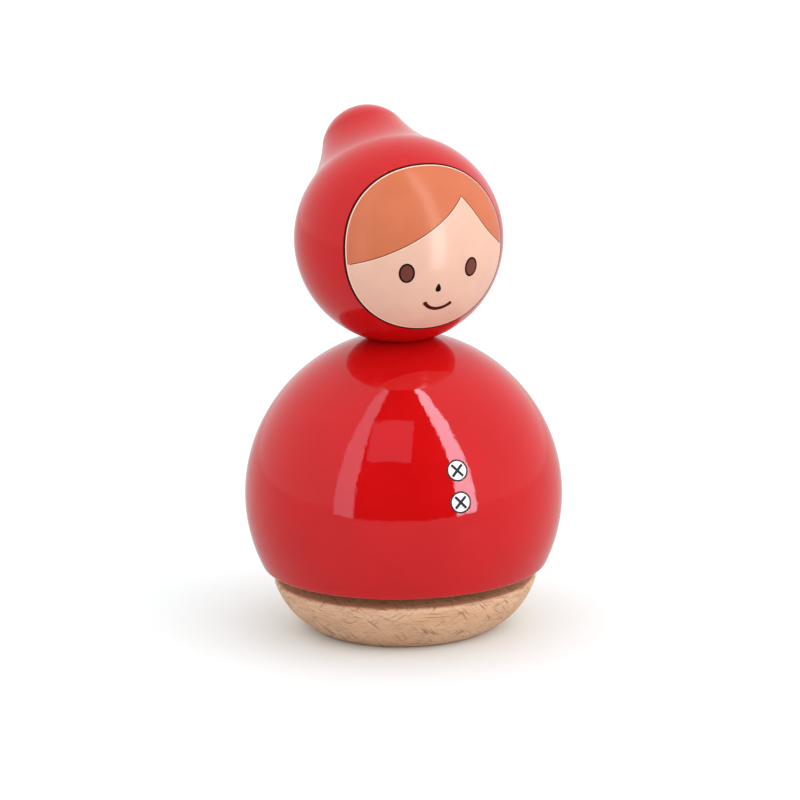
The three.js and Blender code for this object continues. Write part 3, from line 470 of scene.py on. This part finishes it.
def nylon():
    """Moulded nylon in its natural colour, slightly cloudy."""
    material, tree, shader = new_material("nylon_natural")
    cloud = noise(tree, object_coordinates(tree), scale=200, detail=3)
    tone = ramp(tree, cloud, [(0.3, (0.76, 0.74, 0.68)), (0.7, (0.84, 0.82, 0.77))])
    tree.links.new(tone, shader.inputs["Base Color"])
    shader.inputs["Roughness"].default_value = 0.5
    bump(tree, shader, cloud, distance=0.00002)
    return material


SKIN = printed("skin_print", (0.83, 0.51, 0.395), roughness=0.2, shine=0.2)
HAIR = printed("hair_print", (0.635, 0.178, 0.086), roughness=0.2, shine=0.13)
PALE_LINE = printed("pale_line_print", (0.93, 0.70, 0.55), roughness=0.2, shine=0.2)
HAIR_LINE = printed("hair_line_print", (0.22, 0.055, 0.022), roughness=0.4, shine=0.2)
EDGE_LINE = printed("edge_line_print", (0.055, 0.002, 0.003), roughness=0.4, shine=0.06)
EYE = printed("eye_print", (0.165, 0.042, 0.030), roughness=0.35, shine=0.2)
EYE_RIM = printed("eye_rim_print", (0.010, 0.004, 0.003), roughness=0.4, shine=0.06)
MOUTH = printed("mouth_print", (0.085, 0.004, 0.003), roughness=0.4, shine=0.08)
BUTTON = printed("button_enamel", (0.84, 0.82, 0.83), roughness=0.3, shine=0.45)
STITCH = printed("button_cross_print", (0.018, 0.018, 0.022), roughness=0.4, shine=0.1)
# Painted shade: a dark ring round each button that stands in for a groove round its cap
BUTTON_PAINTED_GROOVE_SHADE = printed("button_painted_groove_shade", (0.025, 0.003, 0.004), roughness=0.4, shine=0.15)
RED = red_lacquer()
BEECH = beech("bare_beech")

FINISHES = {
    "red_lacquer": RED,
    "beech": BEECH,
    "dowel_beech": beech("dowel_beech", tone=0.95),
    "birch_ply": birch_ply(),
    "face_print": SKIN,
    "white_enamel": BUTTON,
    "bright_steel": metal("bright_steel", (0.56, 0.57, 0.58), roughness=0.3, streaks=(1, 1, 12)),
    "spring_steel": metal("spring_steel", (0.30, 0.33, 0.38), roughness=0.32, streaks=(1, 1, 4)),
    "brass": metal("brass", (0.78, 0.56, 0.24), roughness=0.3, streaks=(1, 1, 12)),
    "zinc": metal("zinc_casting", (0.52, 0.52, 0.50), roughness=0.5, streaks=(1, 1, 1)),
    "nylon": nylon(),
}

for part in frame["record"]["subparts"]:
    piece = nodes[part["node"]]
    piece.data.materials.clear()
    piece.data.materials.append(FINISHES[part["material_slot"]])


# Wooden pieces

def foot_rounding(flat, corner, side):
    """The round at the body's foot, a curve from the flat to the side that is drawn towards their corner."""
    points = []
    for i in range(FOOT_STEPS + 1):
        t = i / FOOT_STEPS
        point = flat * (1 - t) ** 2 + corner * 2 * t * (1 - t) + side * t * t
        points.append((point.x, point.y))
    return points


def body_ball():
    """The body, cut flat at its foot and hollow for the movement, with a ledge for the closing plate."""
    foot = BODY_FOOT_Z - BODY_CENTRE_Z
    edge = math.sqrt(BODY_RADIUS**2 - foot**2)
    low = math.asin(foot / BODY_RADIUS) + FOOT_ROUND / BODY_RADIUS
    side = Vector((BODY_RADIUS * math.cos(low), BODY_RADIUS * math.sin(low)))
    rounding = foot_rounding(Vector((edge - FOOT_ROUND, foot)), Vector((edge, foot)), side)
    turned = []
    for i in range(1, BODY_STEPS + 1):
        angle = low + (NECK_ANGLE - low) * i / BODY_STEPS
        turned.append((body_reach(angle) * math.cos(angle), body_reach(angle) * math.sin(angle)))
    top = foot + CAVITY_DEPTH
    plate_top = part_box("closing_plate")[1].z - BODY_CENTRE_Z
    profile = [
        (0, top),
        (CAVITY_RADIUS - CAVITY_BEVEL, top),
        (CAVITY_RADIUS, top - CAVITY_BEVEL),
        (CAVITY_RADIUS, plate_top),
        (PLATE_LEDGE, plate_top),
        (PLATE_LEDGE, foot),
        *rounding,
        *turned,
        (0, NECK_Z - BODY_CENTRE_Z),
    ]
    return revolve("body_ball", profile, RED, Matrix.Translation((0, 0, BODY_CENTRE_Z)))


def head_profile():
    """A ball and the smaller round end of the hood's peak, with a hollow arc that touches both."""
    ball, end, blend, reach = HEAD_RADIUS, PEAK_RADIUS, PEAK_BLEND, PEAK_REACH
    along = ((ball + blend) ** 2 - (end + blend) ** 2 + reach**2) / (2 * reach)
    out = math.sqrt((ball + blend) ** 2 - along**2)
    ball_angle = math.atan2(along, out)
    end_angle = math.atan2(along - reach, out)
    return [
        (0, -ball),
        *arc(0, 0, ball, -math.pi / 2, ball_angle, HEAD_STEPS)[1:],
        *arc(out, along, blend, math.pi + ball_angle, math.pi + end_angle, BLEND_STEPS)[1:],
        *arc(0, reach, end, end_angle, math.pi / 2, PEAK_STEPS)[1:-1],
        (0, reach + end),
    ]


def head_ball():
    """The head, with its peak leaning back and its underside cut flat where it meets the body."""
    place = Matrix.Translation((0, 0, HEAD_CENTRE_Z)) @ Matrix.Rotation(-PEAK_TILT, 4, "X")
    made = revolve("head_ball", head_profile(), RED, place, HEAD_SHARP_ANGLE)
    for vertex in made.data.vertices:
        vertex.co.z = max(vertex.co.z, NECK_Z)
    return made


def base_bowl():
    """A shallow bowl, whose side is an arc from its foot up to its rim."""
    rim_z = BASE_HEIGHT - BASE_RIM_ROUND
    out = BASE_RIM_RADIUS - BASE_FOOT_RADIUS
    chord = math.hypot(out, rim_z)
    rise = math.sqrt(BASE_SIDE_ARC**2 - (chord / 2) ** 2)
    centre_r = (BASE_FOOT_RADIUS + BASE_RIM_RADIUS) / 2 - rise * rim_z / chord
    centre_z = rim_z / 2 + rise * out / chord
    start = math.atan2(-centre_z, BASE_FOOT_RADIUS - centre_r) + BASE_SIDE_START
    end = math.atan2(rim_z - centre_z, BASE_RIM_RADIUS - centre_r)
    rim_r = BASE_RIM_RADIUS - BASE_RIM_ROUND
    profile = [
        (BASE_HOLE, BASE_RECESS_DEPTH),
        (BASE_RECESS_RADIUS, BASE_RECESS_DEPTH),
        (BASE_RECESS_RADIUS, BASE_RECESS_BEVEL),
        (BASE_RECESS_RADIUS + BASE_RECESS_BEVEL, 0),
        (BASE_FOOT_RADIUS - BASE_FOOT_BEVEL, 0),
        *arc(centre_r, centre_z, BASE_SIDE_ARC, start, end, BASE_SIDE_STEPS),
        *arc(rim_r, rim_z, BASE_RIM_ROUND, 0, math.pi / 2, BASE_RIM_STEPS)[1:],
        (BASE_HOLE, BASE_HEIGHT),
    ]
    return revolve("base_bowl", profile, BEECH)


# Prints and buttons, laid on a ball. On it, u runs to the doll's left and v up, both along its surface.

HEAD_BALL = (Vector((0, 0, HEAD_CENTRE_Z)), HEAD_RADIUS, FACE_RISE, FACE_TURN)


def on_ball(ball, u, v, lift):
    """The point of a ball's surface at (u, v) from the spot that faces forwards, raised and turned a little."""
    centre, radius, rise, turn = ball
    away = math.hypot(u, v) / radius
    direction = Vector((0, -math.cos(away), 0))
    if away > 1e-9:
        direction += Vector((u, 0, v)).normalized() * math.sin(away)
    direction.rotate(Matrix.Rotation(turn, 3, "Z") @ Matrix.Rotation(-rise, 3, "X"))
    return centre + direction * (radius + lift)


def skin_of(name, ball, rows, material, lift, closed=False):
    """A thin closed skin over a grid of (u, v) points, its top lifted and its underside sunk into the ball."""
    height, width = len(rows), len(rows[0])
    tops = [on_ball(ball, u, v, lift) for row in rows for u, v in row]
    lows = [on_ball(ball, u, v, -PRINT_SUNK) for row in rows for u, v in row]
    count = height * width
    columns = width if closed else width - 1
    faces, edges = [], {}
    for i in range(height - 1):
        for j in range(columns):
            a, b = i * width + j, i * width + (j + 1) % width
            quad = (a, b, b + width, a + width)
            faces.append(quad)
            for start, end in zip(quad, quad[1:] + quad[:1]):
                edges[start, end] = True
    under = [tuple(count + k for k in reversed(quad)) for quad in faces]
    sides = [(b, a, count + a, count + b) for a, b in edges if (b, a) not in edges]
    made = make_object(name, tops + lows, faces + under + sides, material)
    repair = bmesh.new()
    repair.from_mesh(made.data)
    bmesh.ops.remove_doubles(repair, verts=repair.verts, dist=MERGE_DISTANCE)
    bmesh.ops.recalc_face_normals(repair, faces=repair.faces)
    repair.to_mesh(made.data)
    repair.free()
    return made


def bezier(points, steps):
    a, b, c, d = (Vector(p) for p in points)
    curve = []
    for i in range(steps + 1):
        t = i / steps
        s = 1 - t
        curve.append(a * s**3 + b * 3 * s * s * t + c * 3 * s * t * t + d * t**3)
    return curve


def round_path(centre, radius_u, radius_v, sides):
    path = []
    for i in range(sides):
        a = 2 * math.pi * i / sides
        path.append(Vector(centre) + Vector((radius_u * math.cos(a), radius_v * math.sin(a))))
    return path


def disc_rows(path, centre, rings):
    """Rows from a closed path in to its centre."""
    return [[Vector(centre).lerp(p, i / rings) for p in path] for i in range(rings, -1, -1)]


def ribbon_rows(path, widths, closed=False):
    """Three rows along a path: its two edges and its middle. The widths are for each point, or one for all."""
    rows = [[], [], []]
    last = len(path) - 1
    for i, point in enumerate(path):
        ahead = path[(i + 1) % len(path)] if closed else path[min(i + 1, last)]
        behind = path[i - 1] if closed or i else path[0]
        along = (ahead - behind).normalized()
        across = Vector((-along.y, along.x))
        half = (widths[i] if isinstance(widths, list) else widths) / 2
        for row, side in zip(rows, (half, 0, -half)):
            row.append(point + across * side)
    return rows


def face_edge(angle, grow=0.0):
    """A point of the face's outline, a circle drawn a little square, moved out by grow."""
    across = abs(math.cos(angle)) / FACE_HALF_WIDTH
    upward = abs(math.sin(angle)) / FACE_HALF_HEIGHT
    reach = HEAD_RADIUS / (across**FACE_SQUARENESS + upward**FACE_SQUARENESS) ** (1 / FACE_SQUARENESS)
    return Vector((math.cos(angle), math.sin(angle))) * (reach + grow)


def print_on_face(name, rows, material, layer, closed=False):
    return skin_of(name, HEAD_BALL, rows, material, PRINT_LIFT * layer, closed)


def face_field():
    """The skin, a dark line round it and a thin pale border just inside that line."""
    angles = [2 * math.pi * i / FACE_SIDES for i in range(FACE_SIDES)]
    skin = disc_rows([face_edge(a) for a in angles], (0, 0), FACE_RINGS)
    line = ribbon_rows([face_edge(a, EDGE_LINE_WIDTH / 2) for a in angles], EDGE_LINE_WIDTH, True)
    border = ribbon_rows([face_edge(a, -HAIR_BORDER / 2) for a in angles], HAIR_BORDER, True)
    return [
        print_on_face("face_skin", skin, SKIN, SKIN_LAYER, True),
        print_on_face("face_edge_line", line, EDGE_LINE, EDGE_LINE_LAYER, True),
        print_on_face("face_border", border, PALE_LINE, FACE_BORDER_LAYER, True),
    ]


def fringe_path():
    """The lower edge of the hair: one curve up to the parting, and one down from it."""
    left_end = face_edge(FRINGE_LEFT, -HAIR_BORDER)
    right_end = face_edge(FRINGE_RIGHT, -HAIR_BORDER)
    parting = Vector(PARTING)
    left_pulls = (left_end + Vector(FRINGE_LEFT_PULL), parting + Vector(PARTING_LEFT_PULL))
    right_pulls = (parting + Vector(PARTING_RIGHT_PULL), right_end + Vector(FRINGE_RIGHT_PULL))
    left = bezier((left_end, *left_pulls, parting), FRINGE_LEFT_STEPS)
    right = bezier((parting, *right_pulls, right_end), FRINGE_RIGHT_STEPS)
    return left + right[1:]


def hair():
    """All that lies above the fringe, up to the pale border, with a dark and a pale line along the fringe."""
    fringe = fringe_path()
    lengths = [0.0]
    for a, b in zip(fringe, fringe[1:]):
        lengths.append(lengths[-1] + (b - a).length)
    outer = []
    for length in lengths:
        angle = FRINGE_LEFT + (FRINGE_RIGHT - FRINGE_LEFT) * length / lengths[-1]
        outer.append(face_edge(angle, -HAIR_BORDER))
    rows = []
    for i in range(HAIR_STEPS + 1):
        rows.append([low.lerp(high, i / HAIR_STEPS) for low, high in zip(fringe, outer)])
    line = ribbon_rows(fringe[1:-1], HAIR_LINE_WIDTH)
    border = ribbon_rows(fringe[2:-2], PALE_LINE_WIDTH)
    return [
        print_on_face("hair", rows, HAIR, PAINT_LAYER),
        print_on_face("fringe_line", line, HAIR_LINE, FRINGE_LINE_LAYER),
        print_on_face("fringe_border", border, PALE_LINE, FRINGE_BORDER_LAYER),
    ]


def eyes():
    made = []
    for name, centre in EYES.items():
        outer = round_path(centre, EYE_HALF_WIDTH, EYE_HALF_HEIGHT, EYE_SIDES)
        inner = round_path(centre, EYE_HALF_WIDTH - EYE_LINE, EYE_HALF_HEIGHT - EYE_LINE, EYE_SIDES)
        rim = disc_rows(outer, centre, EYE_RINGS)
        made.append(print_on_face(name + "_rim", rim, EYE_RIM, PAINT_LAYER, True))
        made.append(print_on_face(name, disc_rows(inner, centre, EYE_RINGS), EYE, EYE_LAYER, True))
    return made


def nose():
    """A small drop, narrow at its top."""
    path = round_path(NOSE, NOSE_HALF_WIDTH, NOSE_HALF_HEIGHT, NOSE_SIDES)
    for point in path:
        point.x += (point.x - NOSE[0]) * (NOSE[1] - point.y) / NOSE_HALF_HEIGHT * NOSE_TAPER
    return [print_on_face("nose", disc_rows(path, NOSE, NOSE_RINGS), EYE_RIM, PAINT_LAYER, True)]


def smile():
    """A curved line that swells towards both ends and closes in a round tip."""
    widths = []
    for i in range(SMILE_STEPS + 1):
        to_end = 1 - abs(2 * i / SMILE_STEPS - 1)
        swell = math.exp(-((to_end / SMILE_END_SHARE) ** 2))
        closing = max(0.0, 1 - to_end / SMILE_TIP_SHARE)
        tip = math.sqrt(max(SMILE_TIP, 1 - closing**2))
        widths.append((SMILE_WIDTH + SMILE_END_EXTRA * swell) * tip)
    return [print_on_face("smile", ribbon_rows(bezier(SMILE, SMILE_STEPS), widths), MOUTH, PAINT_LAYER)]


def stitch_rows(turn):
    """One stitch of a button's cross, narrower at both ends, where the thread goes down."""
    along = Vector((math.cos(turn), math.sin(turn)))
    path = [along * STITCH_REACH * (2 * i / STITCH_STEPS - 1) for i in range(STITCH_STEPS + 1)]
    ends = [STITCH_WIDTH * share for share in STITCH_END_SHARES]
    middle = [STITCH_WIDTH] * (len(path) - 2 * len(ends))
    return ribbon_rows(path, ends + middle + ends[::-1])


def button(name, rise):
    """The enamelled cap, then a dark ring round it, painted shade in place of a groove, and a cross of two
    stitches.
    """
    ball = (Vector((0, 0, BODY_CENTRE_Z)), body_reach(rise), rise, BUTTON_TURN)
    edge = round_path((0, 0), BUTTON_RADIUS, BUTTON_RADIUS, BUTTON_SIDES)
    cap = skin_of(name + "_cap", ball, disc_rows(edge, (0, 0), BUTTON_RINGS), BUTTON, BUTTON_LIFT, True)
    middle = BUTTON_RADIUS - BUTTON_SHADE_WIDTH / 2
    line = ribbon_rows(round_path((0, 0), middle, middle, BUTTON_SIDES), BUTTON_SHADE_WIDTH, True)
    # The dark ring round the cap is painted shade in place of a groove.
    trim = [skin_of(name + "_rim", ball, line, BUTTON_PAINTED_GROOVE_SHADE, BUTTON_LIFT * BUTTON_SHADE_LAYER, True)]
    for label, (turn, layer) in STITCHES.items():
        trim.append(skin_of(name + label, ball, stitch_rows(turn), STITCH, BUTTON_LIFT * layer))
    return cap, trim


def fit_piece(piece, body, slot, *replaced):
    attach(piece, body)
    if replaced:
        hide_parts(*replaced)


fit_piece(head_ball(), "doll", "red_lacquer", "head")
fit_piece(body_ball(), "doll", "red_lacquer", "body_shell")
fit_piece(base_bowl(), "stand", "beech", "base")

face_skin, *face_lines = face_field()
fit_piece(face_skin, "doll", "face_print", "face_panel")
for piece in face_lines + hair() + eyes() + nose() + smile():
    fit_piece(piece, "doll", "face_print")

for name, rise in BUTTON_RISES.items():
    cap, trim = button(name, rise)
    fit_piece(cap, "doll", "white_enamel", name)
    for piece in trim:
        fit_piece(piece, "doll", "white_enamel")


# Studio

def outwards(azimuth, rise=0.0):
    """The direction away from the doll, at an azimuth from its front and a rise above the floor."""
    return Vector((math.sin(azimuth) * math.cos(rise), -math.cos(azimuth) * math.cos(rise), math.sin(rise)))


CAMERA_TURN = math.radians(CAMERA_AZIMUTH)
CAMERA_RIGHT = Vector((math.cos(CAMERA_TURN), math.sin(CAMERA_TURN), 0))


def camera():
    back = outwards(CAMERA_TURN, math.radians(CAMERA_ELEVATION))
    data = bpy.data.cameras.new("camera")
    data.sensor_width = CAMERA_SENSOR
    data.lens = CAMERA_LENS
    made = bpy.data.objects.new("camera", data)
    bpy.context.scene.collection.objects.link(made)
    made.location = CAMERA_RIGHT * CAMERA_SIDE + Vector((0, 0, CAMERA_AIM_HEIGHT)) + back * CAMERA_DISTANCE
    look = (-back).to_track_quat("-Z", "Y").to_matrix()
    roll = Matrix.Rotation(math.radians(CAMERA_ROLL), 3, "Z")
    made.rotation_euler = (look @ roll).to_euler()
    bpy.context.scene.camera = made


def world():
    """Even white light, and plain white where the camera, metal or glass looks into it."""
    made = bpy.data.worlds.new("studio")
    bpy.context.scene.world = made
    made.use_nodes = True
    tree = made.node_tree
    tree.nodes.clear()
    path = tree.nodes.new("ShaderNodeLightPath")
    seen = path.outputs["Is Camera Ray"]
    for ray in ("Is Glossy Ray", "Is Transmission Ray"):
        either = tree.nodes.new("ShaderNodeMath")
        either.operation = "MAXIMUM"
        tree.links.new(seen, either.inputs[0])
        tree.links.new(path.outputs[ray], either.inputs[1])
        seen = either.outputs[0]
    lit = tree.nodes.new("ShaderNodeBackground")
    lit.inputs["Strength"].default_value = WORLD_STRENGTH
    white = tree.nodes.new("ShaderNodeBackground")
    white.inputs["Strength"].default_value = 1
    for node in (lit, white):
        node.inputs["Color"].default_value = (1, 1, 1, 1)
    mix = tree.nodes.new("ShaderNodeMixShader")
    output = tree.nodes.new("ShaderNodeOutputWorld")
    tree.links.new(seen, mix.inputs["Fac"])
    tree.links.new(lit.outputs[0], mix.inputs[1])
    tree.links.new(white.outputs[0], mix.inputs[2])
    tree.links.new(mix.outputs[0], output.inputs["Surface"])


def sheet(name, corners, faces, material):
    mesh = bpy.data.meshes.new(name)
    mesh.from_pydata([tuple(c) for c in corners], [], faces)
    made = bpy.data.objects.new(name, mesh)
    bpy.context.scene.collection.objects.link(made)
    made.data.materials.append(material)
    return made


def floor():
    """White to the camera, to meet the background but keep its shadow, and grey in the light it throws back."""
    material, tree, shader = new_material("floor_white")
    shader.inputs["Roughness"].default_value = 0.6
    shader.inputs["Specular IOR Level"].default_value = 0.1
    path = tree.nodes.new("ShaderNodeLightPath")
    tone = mixed(tree, path.outputs["Is Camera Ray"], FLOOR_TONE, FLOOR_SEEN)
    tree.links.new(tone, shader.inputs["Base Color"])
    half = FLOOR_SIZE / 2
    corners = [(-half, -half, 0), (half, -half, 0), (half, half, 0), (-half, half, 0)]
    sheet("floor", corners, [(0, 1, 2, 3)], material)


def glowing(name, color, strength):
    material = bpy.data.materials.new(name)
    material.use_nodes = True
    tree = material.node_tree
    tree.nodes.clear()
    emission = tree.nodes.new("ShaderNodeEmission")
    emission.inputs["Color"].default_value = (*color, 1)
    emission.inputs["Strength"].default_value = strength
    output = tree.nodes.new("ShaderNodeOutputMaterial")
    tree.links.new(emission.outputs[0], output.inputs["Surface"])
    return material


def card(name, corners, faces, glow):
    """A glowing sheet that shows only as a reflection and throws no light or shadow."""
    made = sheet(name, corners, faces, glowing(name, *glow))
    made.visible_camera = False
    made.visible_diffuse = False
    made.visible_transmission = False
    made.visible_shadow = False


def tent_point(ahead, across, height):
    return outwards(CAMERA_TURN) * ahead + CAMERA_RIGHT * across + Vector((0, 0, height))


def light_tent():
    """The dark front of the light tent, its two bright edges and the dim panel seen through it."""
    glows = {
        "tent_edge_left": EDGE_LEFT_GLOW,
        "tent_opening": OPENING_GLOW,
        "tent_edge_right": EDGE_RIGHT_GLOW,
    }
    for first, (name, glow) in enumerate(glows.items()):
        corners, faces = [], []
        for ahead, height, *sides in CARD_ROWS:
            corners += [tent_point(ahead, across, height) for across in sides[first:first + 2]]
        for i in range(0, len(corners) - 2, 2):
            faces.append((i, i + 1, i + 3, i + 2))
        card(name, corners, faces, glow)
    panel = [tent_point(PANEL_AHEAD, across, height) for across, height in PANEL_CORNERS]
    card("tent_panel", panel, [(0, 1, 2, 3)], PANEL_GLOW)


def soft_sun(name, side_angle, height_angle, spread, strength):
    """A broad even light from far away, which lights the whole floor alike."""
    back = outwards(math.radians(CAMERA_AZIMUTH + side_angle), math.radians(height_angle))
    data = bpy.data.lights.new(name, "SUN")
    data.angle = math.radians(spread)
    data.energy = strength
    made = bpy.data.objects.new(name, data)
    bpy.context.scene.collection.objects.link(made)
    made.rotation_euler = (-back).to_track_quat("-Z", "Y").to_euler()
    made.visible_glossy = False


camera()
world()
floor()
light_tent()
for name, values in SUNS.items():
    soft_sun(name, *values)
bpy.context.scene.view_settings.view_transform = "Standard"
